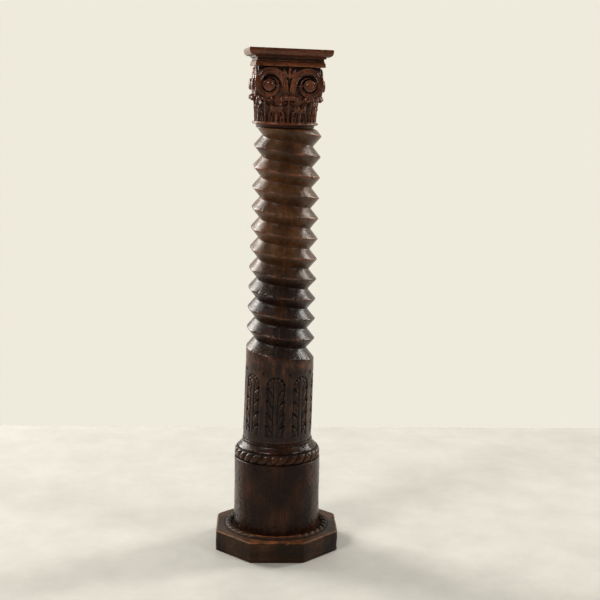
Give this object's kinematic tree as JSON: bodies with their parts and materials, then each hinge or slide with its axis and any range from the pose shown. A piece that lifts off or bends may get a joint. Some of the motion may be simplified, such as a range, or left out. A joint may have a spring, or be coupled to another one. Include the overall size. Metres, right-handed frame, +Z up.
{
  "type": "architectural column",
  "caption": "Antique turned and carved oak column with an eight-sided roped plinth, a drum, a left-handed screw-thread shaft, a leaf-and-volute capital and a moulded square top.",
  "frame": {"origin": "centre of the plinth's flat underside", "axes": "+Z up, -Y out of the face that the picture shows"},
  "size_m": [0.3696, 0.3696, 1.4982],
  "materials": {
    "plinth_oak": "dark stained and waxed oak, dusty and rubbed on its edges",
    "drum_oak": "nearly black waxed oak with a soft shine",
    "shaft_oak": "dark waxed oak, worn to a warmer brown on its crests",
    "capital_oak": "reddish brown waxed oak, dark in the hollows of the carving",
    "abacus_oak": "reddish brown waxed oak, rubbed along its edges"
  },
  "bodies": {
    "root": {"plinth": "plinth_oak", "drum": "drum_oak", "shaft": "shaft_oak", "capital": "capital_oak", "abacus": "abacus_oak"}
  },
  "joints": []
}
